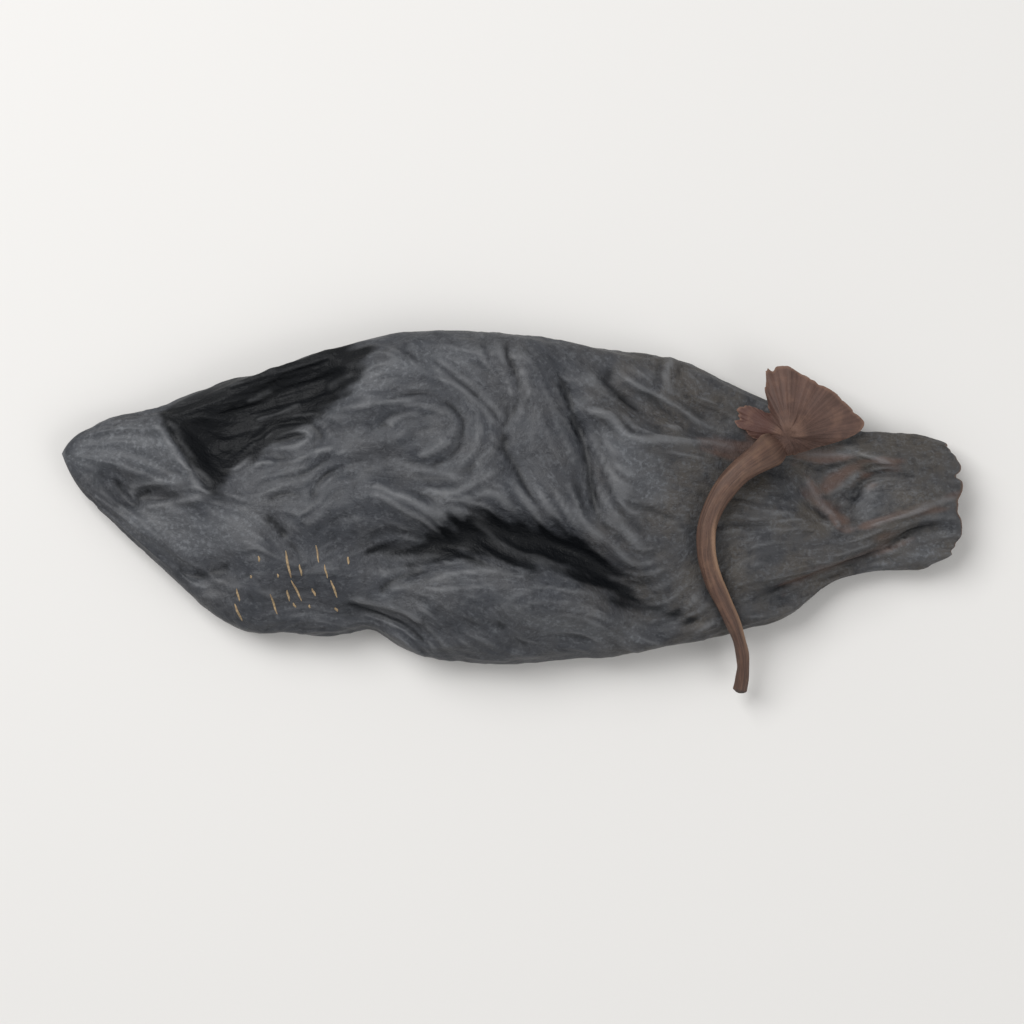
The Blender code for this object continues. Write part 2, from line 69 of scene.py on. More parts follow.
# Sharp lines in the skin: depth (less than 0 for a ridge), half-width, half the gap of a twin line, line
SKIN_LINES = {
    "twin ridge to the knot": (-0.34, 0.36, 0.6, [
        (-10.5, 18.5), (-7.2, 15.9), (-4.5, 13.7), (-2.6, 11.6), (-1.2, 9.8)]),
    "above the knot": (0.36, 0.40, 0, [(-0.9, 21.0), (-0.5, 18.5), (0.4, 16.2), (0.8, 12.9), (-0.4, 10.2)]),
    "below the knot": (0.42, 0.40, 0, [
        (-0.6, 9.4), (-0.9, 7.2), (-0.1, 5.5), (1.4, 2.6), (3.3, -0.3), (4.4, -2.0)]),
    "left of the knot": (0.30, 0.36, 0, [(-0.8, 8.8), (-1.5, 6.6), (-4.4, 4.9), (-5.8, 3.2)]),
    "twin ridge over the valley": (-0.42, 0.36, 0.55, [
        (-18.2, 1.7), (-15.9, 0.9), (-13.0, -0.6), (-10.4, -2.0), (-8.7, -3.7)]),
    "ridge over the valley": (-0.34, 0.36, 0, [(-14.7, 1.4), (-11.8, -0.3), (-7.8, -2.6)]),
    "left fork": (0.38, 0.40, 0, [(-25.9, 0.1), (-24.6, 2.4), (-23.3, 3.8), (-21.3, 4.7), (-17.3, 5.5)]),
    "wavy line": (0.34, 0.36, 0, [(-31.2, 0.2), (-29.8, 0.9), (-28.4, 1.1), (-26.4, 0.4)]),
    "under the arcs": (-0.32, 0.34, 0, [
        (-19.6, 3.7), (-17.0, 4.3), (-14.7, 4.9), (-11.3, 4.0), (-8.4, 3.5), (-5.8, 3.2)]),
    "bright loop": (-0.36, 0.30, 0, [
        (-31.4, 7.6), (-28.8, 8.8), (-26.6, 9.1), (-25.9, 8.0), (-28.3, 6.9), (-30.7, 7.1)]),
    "dark loop": (0.36, 0.40, 0, [(-33.0, 5.4), (-31.6, 9.4), (-28.4, 10.4), (-25.0, 9.6), (-24.4, 7.4)]),
    "bright dash": (-0.40, 0.32, 0, [(-33.0, 4.6), (-32.0, 5.0), (-30.4, 4.8)]),
    "second bright dash": (-0.36, 0.32, 0, [(-25.4, 6.0), (-24.2, 6.6), (-22.8, 6.7)]),
    "small bright ridge": (-0.46, 0.34, 0, [(-12.1, 5.8), (-10.4, 6.2), (-8.9, 7.1), (-7.9, 7.9)]),
    "second bright ridge": (-0.40, 0.34, 0, [(-16.0, 9.5), (-13.9, 10.9), (-11.4, 11.3)]),
    "third bright ridge": (-0.34, 0.32, 0, [(-4.8, 4.4), (-3.2, 5.8), (-1.8, 6.8)]),
    "inner arc": (0.34, 0.38, 0, [
        (-10.9, 4.4), (-8.4, 5.4), (-6.4, 7.6), (-6.2, 10.5), (-8.4, 12.9), (-12.0, 14.0), (-16.8, 13.0)]),
    "outer arc": (-0.30, 0.36, 0, [(-7.5, 3.4), (-4.6, 6.7), (-4.1, 10.5), (-6.0, 14.0), (-10.5, 16.3)]),
    "left dent": (0.55, 0.48, 0, [(-31.4, -1.7), (-30.2, -2.9), (-28.9, -4.7)]),
    "fold inside the valley": (-0.55, 0.40, 0, [
        (-5.6, -1.9), (-3.5, -3.4), (-2.1, -4.8), (0.6, -6.6), (4.1, -7.7), (8.0, -9.2)]),
    "crease of the lobe": (0.55, 0.42, 0, [
        (-22.2, -12.9), (-18.6, -14.0), (-15.9, -15.0), (-13.0, -16.4), (-10.4, -19.0)]),
    "ridge of the lobe": (-0.46, 0.38, 0, [(-21.6, -12.2), (-16.4, -13.1), (-13.0, -14.2), (-11.3, -15.6)]),
    "short crease of the lobe": (0.40, 0.40, 0, [(-17.0, -11.8), (-15.0, -10.0), (-10.5, -8.5)]),
    "edge crease of the lobe": (0.36, 0.38, 0, [(-2.1, -15.2), (-0.1, -17.2), (2.5, -18.7)]),
    "long crease": (0.66, 0.36, 0, [
        (5.4, 17.6), (6.8, 14.6), (7.6, 12.3), (8.8, 8.7), (9.7, 4.7), (10.2, 1.1), (11.1, -1.7),
        (13.2, -4.9)]),
    "upper band": (0.55, 0.90, 0, [(11.2, 17.0), (13.7, 14.2), (16.2, 11.8), (20.5, 8.9)]),
    "second band": (0.42, 0.75, 0, [(21.6, 14.2), (23.6, 12.2), (26.8, 11.2), (28.4, 9.9)]),
    "ridge between the bands": (-0.44, 0.42, 0, [
        (13.8, 16.4), (16.2, 14.8), (18.5, 13.8), (21.8, 12.0), (24.6, 10.0), (28.1, 9.0)]),
    "short ridge": (-0.38, 0.38, 0, [(20.8, 18.4), (19.9, 16.1), (20.6, 13.6)]),
    "edge of the facet": (-0.50, 0.42, 0, [
        (8.9, 11.6), (12.4, 11.0), (14.2, 9.0), (15.9, 8.1), (21.5, 7.8), (26.0, 7.6), (29.6, 6.7)]),
    "shoulder ridge": (-0.46, 0.40, 0, [(37.6, 6.2), (40.2, 6.1), (45.0, 6.0), (49.4, 4.8)]),
    "tongue's edge": (0.34, 0.40, 0, [(49.4, 4.3), (46.8, 3.4), (45.2, 2.5), (44.4, 0.7), (43.0, -1.5)]),
    "tongue's ridge": (-0.30, 0.36, 0, [(40.8, 0.9), (42.1, 1.6), (43.6, 2.6), (45.2, 4.4)]),
    "red ridge": (-0.34, 0.36, 0, [(37.9, 3.4), (39.4, 0.6), (42.0, -2.4)]),
    "flap ridge": (-0.40, 0.30, 0, [(58.4, 0.7), (54.9, -0.1), (51.2, -1.5), (49.4, -2.1), (45.6, -3.4)]),
    "second flap ridge": (-0.26, 0.36, 0, [(58.2, -2.0), (53.0, -2.3), (48.0, -4.0)]),
    "flap crease": (0.42, 0.40, 0, [
        (31.5, -12.4), (35.8, -10.9), (42.1, -8.5), (46.8, -6.7), (49.8, -5.2), (51.6, -3.9), (54.9, -2.8)]),
    "mouth crease": (0.34, 0.40, 0, [(57.6, 3.6), (54.0, 3.0), (49.6, 3.2)]),
    "tip dent": (0.60, 0.62, 0, [(-51.5, 3.1), (-50.5, 1.1), (-48.9, -0.4), (-48.0, 0.7), (-46.0, 1.2)]),
    "ridge by the dent": (-0.26, 0.45, 0, [(-49.4, 1.9), (-47.4, 2.3), (-44.0, 2.8)]),
    "facet fold": (-0.34, 0.45, 0, [(-47.9, -0.9), (-42.6, 0.0), (-38.0, 1.2)]),
    "corner edge": (0.55, 0.42, 0, [(-45.6, 11.3), (-42.2, 6.4), (-38.3, 1.0)]),
    "corner streak": (-0.46, 0.50, 0, [
        (-44.6, 12.0), (-40.6, 13.8), (-36.6, 15.4), (-33.2, 16.8), (-29.6, 17.7)]),
    "corner dash": (-0.40, 0.32, 0, [(-34.4, 12.9), (-32.6, 13.5), (-30.7, 14.4)]),
    "second corner dash": (-0.40, 0.32, 0, [(-33.3, 10.3), (-30.0, 11.3), (-26.8, 12.6)]),
    "third corner dash": (-0.36, 0.32, 0, [(-23.9, 14.6), (-22.0, 15.6), (-20.1, 16.3)]),
    "tip crease": (0.46, 0.70, 0, [(-43.6, -8.3), (-41.6, -9.4), (-38.6, -9.0), (-35.6, -8.0)]),
    "tip line": (0.30, 0.32, 0, [(-53.2, 8.3), (-54.8, 5.7), (-56.5, 2.8)]),
}
# Hollows painted near-black as shade, where the skin has also kept no bloom, as outlines
SHADED_BLACK_HOLLOWS = {
    "sunken corner": [
        (-45.6, 11.5), (-42.2, 6.4), (-38.3, 1.0), (-37.2, 1.4), (-36.0, 3.6), (-33.4, 5.6), (-31.0, 7.4),
        (-27.0, 9.4), (-23.6, 11.6), (-20.8, 14.2), (-18.6, 17.4), (-17.6, 20.4), (-24.0, 20.5),
        (-32.0, 18.0), (-40.0, 14.5)],
    "valley": [
        (-18.0, -6.2), (-12.0, -5.2), (-8.6, -3.4), (-6.6, -1.8), (-3.0, -1.5), (1.3, -2.3), (5.4, -3.4),
        (9.3, -5.2), (13.0, -8.2), (17.2, -12.6), (19.8, -13.8), (25.6, -15.0), (25.2, -15.9), (19.0, -14.6),
        (14.0, -12.9), (10.5, -10.8), (6.5, -9.0), (1.3, -8.2), (-3.0, -7.7), (-6.6, -7.2), (-12.0, -7.2)],
}
# Places of the skin, as lines of (x, y, half-width)
RUSTY_PLACES = {
    "shoulder ridge": [(37.0, 6.0, 0.9), (43.4, 5.8, 0.7), (49.4, 4.7, 0.4)],
    "tongue": [(41.0, 1.6, 0.9), (44.6, 4.2, 0.7), (46.4, 2.4, 0.5)],
    "red ridge": [(38.0, 3.0, 0.4), (39.6, 0.4, 0.8), (42.6, -2.6, 1.0)],
    "flap ridge": [(58.4, 0.8, 0.3), (51.2, -1.4, 0.35), (45.6, -3.3, 0.3)],
    "flap crease": [(35.0, -10.9, 0.2), (42.1, -8.3, 0.35), (51.0, -4.0, 0.3)],
    "beside the root": [(24.6, 7.4, 0.5), (29.4, 6.6, 1.2), (32.0, 8.4, 1.4)],
}
PALE_PLACES = {
    "facet": [(12.6, 9.6, 0.8), (15.6, 5.6, 2.6), (18.0, 1.4, 2.4)],
    "small facet": [(9.6, 15.2, 0.7), (10.6, 16.2, 0.6)],
    "lobe": [(-2.0, -13.6, 1.0), (8.0, -16.4, 1.6), (16.0, -17.4, 1.0)],
    "tip": [(-56.0, 6.0, 1.6), (-48.0, 7.4, 3.4), (-43.6, 3.6, 2.0)],
    "below the tip": [(-49.0, -2.6, 1.4), (-40.0, -4.4, 3.4), (-34.0, -3.0, 2.6)],
    "flap": [(46.0, -8.4, 0.6), (54.6, -6.2, 1.8)],
    "shoulder": [(-26.0, 12.0, 1.2), (-14.0, 17.0, 2.0), (-6.0, 18.6, 1.4)],
}
CALM_PLACES = {
    "tip": [(-56.0, 5.6, 2.4), (-46.0, 6.4, 3.6)],
    "below the tip": [(-50.0, -1.0, 2.0), (-40.0, -5.0, 4.0), (-34.0, -2.6, 2.0)],
    "facet": [(12.8, 9.0, 0.8), (16.0, 5.0, 3.0), (20.0, 1.0, 2.4)],
    "flap": [(42.0, -10.4, 0.8), (54.0, -6.4, 2.4)],
    "mouth": [(52.0, 6.6, 2.0), (56.0, 3.0, 2.0)],
}
# Pale splits in the skin: the two ends of each
SPLITS = [
    ((-28.9, -6.2), (-28.2, -9.8)), ((-28.2, -10.0), (-26.9, -12.8)), ((-25.0, -5.5), (-24.6, -7.8)),
    ((-27.1, -8.0), (-26.8, -9.5)), ((-23.9, -8.0), (-23.5, -9.8)), ((-23.1, -10.0), (-22.3, -12.3)),
    ((-35.3, -11.1), (-34.9, -12.8)), ((-35.6, -13.1), (-34.7, -15.4)), ((-30.9, -11.8), (-30.1, -14.5)),
    ((-28.8, -11.3), (-28.5, -12.8)), ((-32.3, -6.9), (-32.2, -7.7)), ((-25.6, -11.1), (-25.1, -12.1)),
    ((-28.1, -13.0), (-27.7, -13.6)), ((-26.0, -13.2), (-25.9, -13.7)), ((-22.7, -13.6), (-22.3, -14.1)),
    ((-20.9, -7.0), (-20.8, -8.0)), ((-33.4, -9.4), (-33.3, -9.8)), ((-29.9, -9.2), (-29.8, -9.7)),
]
# The stem's middle line, from its root to its cut end, as (x, y, z)
STEM_LINE = [
    (35.4, 8.0, 9.5), (32.4, 6.1, 10.2), (29.2, 3.9, 10.5), (26.6, 0.9, 10.6), (25.0, -2.8, 10.4),
    (24.9, -6.6, 10.0), (25.8, -10.0, 9.3), (27.3, -13.2, 8.3), (28.9, -16.6, 7.0), (29.9, -19.9, 5.4),
    (30.0, -22.6, 3.8), (29.7, -24.6, 3.1),
]
CALYX_HUB = np.array([35.6, 8.3])


def ease(value):
    """0 below 0, 1 above 1, and a smooth step between."""
    value = np.clip(value, 0, 1)
    return value * value * (3 - 2 * value)


def steady(field):
    """The field moved and scaled to a mean of 0 and a spread of 1."""
    return (field - field.mean()) / field.std()


def smooth_line(points, per_span=6):
    """Points close together on a smooth line through a few."""
    at = np.array(points, float)
    place = np.linspace(0, len(at) - 1, per_span * (len(at) - 1) + 1)
    k = np.minimum(place.astype(int), len(at) - 2)
    s = (place - k)[:, None]
    slope = np.gradient(at, axis=0)
    return (
        (2 * s**3 - 3 * s**2 + 1) * at[k]
        + (s**3 - 2 * s**2 + s) * slope[k]
        + (3 * s**2 - 2 * s**3) * at[k + 1]
        + (s**3 - s**2) * slope[k + 1]
    )


def plan_line(points):
    """A smooth line through plan points, moved to the part's origin."""
    line = smooth_line(points)
    line[:, :2] -= ORIGIN
    return line


def nearest_on(line, x, y):
    """For each (x, y): its distance to a line in plan, where along it that is (0 to 1), and the span."""
    best = np.full(x.shape, np.inf)
    place, span = np.zeros(x.shape), np.zeros(x.shape, int)
    for k, (start, end) in enumerate(zip(line[:-1, :2], line[1:, :2])):
        step = end - start
        share = np.clip(((x - start[0]) * step[0] + (y - start[1]) * step[1]) / (step @ step), 0, 1)
        distance = np.hypot(x - start[0] - share * step[0], y - start[1] - share * step[1])
        nearer = distance < best
        best = np.where(nearer, distance, best)
        place = np.where(nearer, (k + share) / (len(line) - 1), place)
        span = np.where(nearer, k, span)
    return best, place, span


def around(line, x, y, reach):
    """Which of the points are in the line's box, made larger by the reach."""
    low, high = line[:, :2].min(axis=0) - reach, line[:, :2].max(axis=0) + reach
    return (x > low[0]) & (x < high[0]) & (y > low[1]) & (y < high[1])


def within(spots, x, y):
    """How far inside the drawn places each (x, y) is, in millimetres; far outside it is -9."""
    deepest = np.full(len(x), -9.0)
    for points in spots.values():
        line = plan_line(points)
        near = around(line, x, y, 9.0)
        distance, place, _ = nearest_on(line, x[near], y[near])
        half = np.interp(place * (len(line) - 1), np.arange(len(line)), line[:, 2])
        deepest[near] = np.maximum(deepest[near], half - distance)
    return deepest


def inside_of(outlines, x, y):
    """How far inside the closed outlines each (x, y) is, in millimetres, and negative outside them."""
    deepest = np.full(len(x), -np.inf)
    for points in outlines.values():
        ring = np.array([*points, points[0]]) - ORIGIN
        distance, _, _ = nearest_on(ring, x, y)
        crossings = np.zeros(len(x), int)
        for (ax, ay), (bx, by) in zip(ring[:-1], ring[1:]):
            if ay != by:
                crossings += ((ay > y) != (by > y)) & (x < ax + (bx - ax) * (y - ay) / (by - ay))
        deepest = np.maximum(deepest, np.where(crossings % 2, distance, -distance))
    return deepest


def cloud(points, size, seed):
    """Smooth noise from -1 to 1 at each point, with swells of about this size."""
    lattice = np.random.default_rng(seed).uniform(-1, 1, (32, 32, 32))
    place = np.asarray(points) / size
    cell = np.floor(place).astype(int)
    part = ease(place - cell)
    total = np.zeros(len(place))
    for corner in np.ndindex(2, 2, 2):
        weight = np.prod(np.where(corner, part, 1 - part), axis=1)
        total += weight * lattice[tuple(((cell + corner) % 32).T)]
    return total


def wave_noise(wavelength, seed):
    """Noise on the plan grid whose waves are all about as long as each other."""
    white = np.random.default_rng(seed).standard_normal((len(GRID_X), len(GRID_Y)))
    per_mm = np.hypot(np.fft.fftfreq(len(GRID_X), CELL)[:, None], np.fft.fftfreq(len(GRID_Y), CELL)[None, :])
    kept = np.exp(-(((per_mm * wavelength - 1) / 0.4) ** 2))
    return steady(np.fft.ifft2(np.fft.fft2(white) * kept).real)


def read_grid(fields, x, y):
    """Fields of the plan grid, in a stack, each read at every (x, y)."""
    i = np.clip((x - GRID_X[0]) / CELL, 0, len(GRID_X) - 1.001)
    j = np.clip((y - GRID_Y[0]) / CELL, 0, len(GRID_Y) - 1.001)
    a, b = i.astype(int), j.astype(int)
    u, v = i - a, j - b
    near = fields[:, a, b] * (1 - u) + fields[:, a + 1, b] * u
    far = fields[:, a, b + 1] * (1 - u) + fields[:, a + 1, b + 1] * u
    return near * (1 - v) + far * v


def flow_field(lines, seed):
    """The direction of the wrinkles on the plan grid, and that of twice its angle.

    It is lengthwise, and wanders a little, but runs along the lines that are near."""
    x, y = np.meshgrid(GRID_X, GRID_Y, indexing="ij")
    flat = np.stack([x.ravel(), y.ravel(), np.zeros(x.size)], axis=1)
    wander = (1.0 * cloud(flat, 13.0, seed) + 0.45 * cloud(flat, 5.0, seed + 1)).reshape(x.shape)
    even, odd = 0.16 * np.cos(2 * wander), 0.16 * np.sin(2 * wander)
    for points in lines:
        line = plan_line(points)
        step = np.diff(line[:, :2], axis=0)
        turn = 2 * np.arctan2(step[:, 1], step[:, 0])
        near = around(line, x, y, 2.2 * FLOW_REACH)
        distance, _, span = nearest_on(line, x[near], y[near])
        pull = np.exp(-((distance / FLOW_REACH) ** 2))
        even[near] += pull * np.cos(turn[span])
        odd[near] += pull * np.sin(turn[span])
    turn = np.arctan2(odd, even)
    return np.stack([np.cos(turn / 2), np.sin(turn / 2), np.cos(turn), np.sin(turn)])


def drawn_out(fields, flow, reach):
    """Fields of the plan grid, averaged along the flow so that their waves become wrinkles."""
    start_x, start_y = np.meshgrid(GRID_X, GRID_Y, indexing="ij")
    step = 1.5 * CELL
    total = fields.copy()
    stack = np.concatenate([flow[:2], fields])
    for way in (1, -1):
        x, y = start_x, start_y
        along_x, along_y = way * flow[0], way * flow[1]
        for k in range(int(reach / step)):
            x, y = x + step * along_x, y + step * along_y
            next_x, next_y, *found = read_grid(stack, x, y)
            same = np.where(next_x * along_x + next_y * along_y < 0, -1, 1)
            along_x, along_y = next_x * same, next_y * same
            total += np.array(found) * (1 - (k + 1) * step / reach)
    return np.stack([steady(field) for field in total])


def select_only(piece):
    """Deselects everything but this piece, and makes it the active one."""
    bpy.ops.object.select_all(action="DESELECT")
    piece.select_set(True)
    bpy.context.view_layer.objects.active = piece


def fine_copy(node, name, levels):
    """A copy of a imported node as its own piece: its triangles joined into quads, and subdivided."""
    piece = bpy.data.objects.new(name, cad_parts[node].data.copy())
    bpy.context.scene.collection.objects.link(piece)
    piece.data.name = name
    select_only(piece)
    bpy.ops.object.mode_set(mode="EDIT")
    bpy.ops.mesh.select_all(action="SELECT")
    bpy.ops.mesh.customdata_custom_splitnormals_clear()
    bpy.ops.mesh.remove_doubles(threshold=1e-6)
    bpy.ops.mesh.tris_convert_to_quads(face_threshold=math.pi, shape_threshold=math.pi)
    bpy.ops.object.mode_set(mode="OBJECT")
    finer = piece.modifiers.new("finer", "SUBSURF")
    finer.levels = finer.render_levels = levels
    bpy.ops.object.modifier_apply(modifier=finer.name)
    bpy.ops.object.shade_smooth()
    piece.data.materials.clear()
    return piece


def places(piece):
    """The piece's points, in millimetres."""
    at = np.empty(len(piece.data.vertices) * 3, np.float32)
    piece.data.vertices.foreach_get("co", at)
    return at.reshape(-1, 3).astype(float) / MM


def outward(piece):
    """The direction that the skin faces at each of the piece's points."""
    facing = np.empty(len(piece.data.vertices) * 3, np.float32)
    piece.data.vertices.foreach_get("normal", facing)
    return facing.reshape(-1, 3).astype(float)


def put(piece, points):
    """Moves the piece's points, given in millimetres."""
    piece.data.vertices.foreach_set("co", (points * MM).astype(np.float32).ravel())
    piece.data.update()


def note(piece, name, values):
    """Keeps a number, or a vector, for each point of the piece, for its finish to read."""
    values = np.asarray(values, np.float32)
    if values.ndim == 1:
        piece.data.attributes.new(name, "FLOAT", "POINT").data.foreach_set("value", values)
    else:
        piece.data.attributes.new(name, "FLOAT_VECTOR", "POINT").data.foreach_set("vector", values.ravel())


def softened(piece, values, rounds):
    """Rows of values, one for each point of the piece, averaged with its neighbours' in each round."""
    ends = np.empty(len(piece.data.edges) * 2, np.int32)
    piece.data.edges.foreach_get("vertices", ends)
    one, other = ends.reshape(-1, 2).T
    many = len(values)
    count = np.bincount(one, minlength=many) + np.bincount(other, minlength=many)
    for _ in range(rounds):
        sums = [np.bincount(one, row[other], many) + np.bincount(other, row[one], many) for row in values.T]
        values = 0.5 * values + 0.5 * np.stack(sums, axis=1) / count[:, None]
    return values


def bulge(piece, rounds):
    """How far each point stands out of its surroundings, in millimetres: less than 0 in creases."""
    points = places(piece)
    return ((points - softened(piece, points, rounds)) * outward(piece)).sum(axis=1)


def finish_piece(piece, material, slot, *nodes):
    """Gives a finished piece its material and its body, and hides the imported nodes that it stands for."""
    piece.data.materials.append(material)
    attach(piece, BODY)
    if nodes:
        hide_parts(*nodes)


class Value:
    """A socket of a finish's nodes, so that maths on it can be written as Python."""

    def __init__(self, finish, socket):
        self.finish, self.socket = finish, socket

    def maths(self, operation, *values):
        return self.finish.node("ShaderNodeMath", {"operation": operation}, dict(enumerate(values)))

    def __add__(self, other):
        return self.maths("ADD", self, other)

    def __radd__(self, other):
        return self.maths("ADD", other, self)

    def __sub__(self, other):
        return self.maths("SUBTRACT", self, other)

    def __rsub__(self, other):
        return self.maths("SUBTRACT", other, self)

    def __mul__(self, other):
        return self.maths("MULTIPLY", self, other)

    def __rmul__(self, other):
        return self.maths("MULTIPLY", other, self)

    def __pow__(self, other):
        return self.maths("POWER", self, other)

    def step(self, low, high):
        """0 below low, 1 above high, and a smooth step between."""
        return self.finish.node("ShaderNodeMapRange", {"interpolation_type": "SMOOTHSTEP"},
                                {0: self, 1: low, 2: high, 3: 0.0, 4: 1.0})


class Finish:
    """A material under way: its nodes, and the shader that they end in."""

    def __init__(self, name):
        self.material = bpy.data.materials.new(name)
        self.material.use_nodes = True
        self.tree = self.material.node_tree
        self.shader = self.tree.nodes["Principled BSDF"]

    def node(self, kind, settings=None, sockets=None, output=0):
        """Adds a node: its settings first, then the values or links of its sockets."""
        made = self.tree.nodes.new(kind)
        for name, value in (settings or {}).items():
            setattr(made, name, value)
        for name, value in (sockets or {}).items():
            self.give(made.inputs[name], value)
        return Value(self, made.outputs[output])

    def give(self, socket, value):
        if isinstance(value, Value):
            self.tree.links.new(value.socket, socket)
        elif socket.type == "RGBA":
            socket.default_value = (*value, 1.0)
        else:
            socket.default_value = value

    def place(self, stretch=(1.0, 1.0, 1.0)):
        """The point on the object, in millimetres over the stretch."""
        here = self.node("ShaderNodeTexCoord", output="Object")
        return self.node("ShaderNodeVectorMath", {"operation": "MULTIPLY"},
                         {0: here, 1: [1 / MM / s for s in stretch]})

    def noted(self, name, output="Fac"):
        return self.node("ShaderNodeAttribute", {"attribute_name": name}, output=output)

    def noise(self, place, size, detail=3.0, roughness=0.55, distortion=0.0):
        return self.node("ShaderNodeTexNoise", sockets={
            "Vector": place, "Scale": 1 / size, "Detail": detail, "Roughness": roughness,
            "Distortion": distortion})

    def drawn_noise(self, flow, size, stretch, detail=3.0):
        """Noise drawn out along the flow: in four directions, each counted where the flow runs that way."""
        even, odd = (self.node("ShaderNodeSeparateXYZ", sockets={0: flow}, output=k) for k in (0, 1))
        total = 0.5
        for degrees, share in ((0, even), (45, odd), (90, 0.0 - even), (135, 0.0 - odd)):
            turned = self.node("ShaderNodeMapping", {"vector_type": "TEXTURE"}, {
                "Vector": self.place(), "Rotation": (0.0, 0.0, math.radians(degrees)),
                "Scale": (stretch, 1.0, 1.0)})
            swing = self.noise(turned, size, detail) - 0.5
            total = share.maths("MAXIMUM", share, 0.0) ** 2.0 * swing + total
        return total

    def mix(self, factor, a, b):
        """Colour a where the factor is 0, and colour b where it is 1."""
        return self.node("ShaderNodeMix", {"data_type": "RGBA"}, {0: factor, 6: a, 7: b}, 2)

    def bump(self, height, depth, under=None):
        """Small relief: the height, from 0 to 1, stands for this depth in millimetres."""
        sockets = {"Height": height, "Distance": depth * MM, "Strength": 1.0}
        if under is not None:
            sockets["Normal"] = under
        return self.node("ShaderNodeBump", sockets=sockets)

    def shade(self, **sockets):
        """Sets the shader's sockets and gives back the material."""
        for name, value in sockets.items():
            self.give(self.shader.inputs[name.replace("_", " ")], value)
        return self.material


def length(name, words, value, **limits):
    return bpy.props.FloatProperty(name=name, description=words, default=value, unit="LENGTH", **limits)


def share(name, words, value):
    return bpy.props.FloatProperty(
        name=name, description=words, default=value, min=0.0, max=1.0, subtype="FACTOR")


def power(name, words, value):
    return bpy.props.FloatProperty(name=name, description=words, default=value, unit="POWER")


def colour(name, words, value):
    return bpy.props.FloatVectorProperty(
        name=name, description=words, default=value, size=3, min=0.0, max=1.0, subtype="COLOR")


class PepperSkin(bpy.types.PropertyGroup):
    """Sizes and colours of the pod's skin."""

    wave: length("Wrinkle spacing", "From one wrinkle to the next", 3.4 * MM)
    height: length("Wrinkle height", "Height of the wrinkles' crests", 0.25 * MM)
    fine_wave: length("Fine wrinkle spacing", "From one fine wrinkle to the next", 1.9 * MM)
    fine_height: length("Fine wrinkle height", "Height of the fine wrinkles' crests", 0.24 * MM)
    line: length("Fine line spacing", "From one hair line of the skin to the next", 0.50 * MM)
    grain: length("Grain", "Size of the leathery grain", 0.32 * MM)
    # This near-black is painted shade in the hollows and creases, as well as the skin's own colour where it
    # has lost its bloom
    black: colour("Black", "Bare skin, in the hollows", (0.0030, 0.0036, 0.0046))
    rubbed: colour("Rubbed", "Skin that has lost most of its bloom", (0.014, 0.015, 0.018))
    bloom: colour("Bloom", "Skin under its dusty bloom", (0.037, 0.041, 0.049))
    dust: colour("Dust", "Thicker bloom, in flecks", (0.105, 0.110, 0.119))
    brown: colour("Brown", "Skin of the shoulder", (0.052, 0.046, 0.040))
    # Crests are lightened with this: partly wear, partly a painted highlight
    crest: colour("Crest", "Worn crests", (0.146, 0.149, 0.156))
    rust: colour("Rust", "Reddish places", (0.110, 0.058, 0.041))
    torn: colour("Torn edge", "The skin's section where it is torn", (0.12, 0.062, 0.036))
    split: colour("Splits", "Pale flesh in the splits", (0.330, 0.235, 0.130))
    roughness: share("Roughness", "Roughness of the bloom", 0.50)


class PepperCalyx(bpy.types.PropertyGroup):
    """Sizes and colours of the calyx."""

    ribs: bpy.props.IntProperty(name="Ribs", description="Ribs once round", default=46, min=8, max=120)
    rib_height: length("Rib height", "How far the ribs stand up", 0.07 * MM)
    thinned: length("Thinning", "How much the sheet is thinned towards its rim, on each side", 0.25 * MM)
    ragged: length("Raggedness", "How far the rim is worn away", 0.40 * MM)
    brown: colour("Brown", "The sheet of the calyx", (0.088, 0.049, 0.038))
    # Dark is the fibres' own darker tone, and painted shade in the creases between the ribs
    dark: colour("Dark", "Between its ribs", (0.050, 0.028, 0.022))
    # Pale is the worn rim and mottling, and a painted highlight on the crests
    pale: colour("Pale", "Its worn rim", (0.190, 0.108, 0.074))
    red: colour("Red", "The small lobe", (0.066, 0.030, 0.024))


class PepperStem(bpy.types.PropertyGroup):
    """Sizes and colours of the stem."""

    furrow: length("Furrow depth", "Depth of the furrows along the stem", 0.15 * MM)
    flare: share("Flare", "How much wider the root is where it joins the calyx", 0.38)
    brown: colour("Brown", "The stem's skin", (0.108, 0.058, 0.040))
    # Dark is the furrows' own tone, and painted shade on the stem's left side and in its creases
    dark: colour("Dark", "The furrows", (0.048, 0.026, 0.019))
    # Tan is a paler mottle, and a painted highlight on the lit ridge and the crests
    tan: colour("Tan", "The ridges", (0.240, 0.145, 0.090))
    root: colour("Root", "Where the stem joins the calyx", (0.088, 0.049, 0.038))
    cut: colour("Cut end", "The cut end of the stem", (0.030, 0.024, 0.021))


class PepperStage(bpy.types.PropertyGroup):
    """The floor, the lights and the camera."""

    floor: colour("Floor", "The plain floor", (0.62, 0.61, 0.595))
    view_width: length("View width", "Width that the camera sees, at the pod", 0.132)
    lens: bpy.props.FloatProperty(name="Lens", description="Focal length in millimetres", default=100.0)
    key: power("Key light", "Power of the key light", 4.2)
    fill: power("Fill light", "Power of the fill light", 1.2)
    sky: bpy.props.FloatProperty(name="Sky", description="Strength of the light from all round", default=0.50)


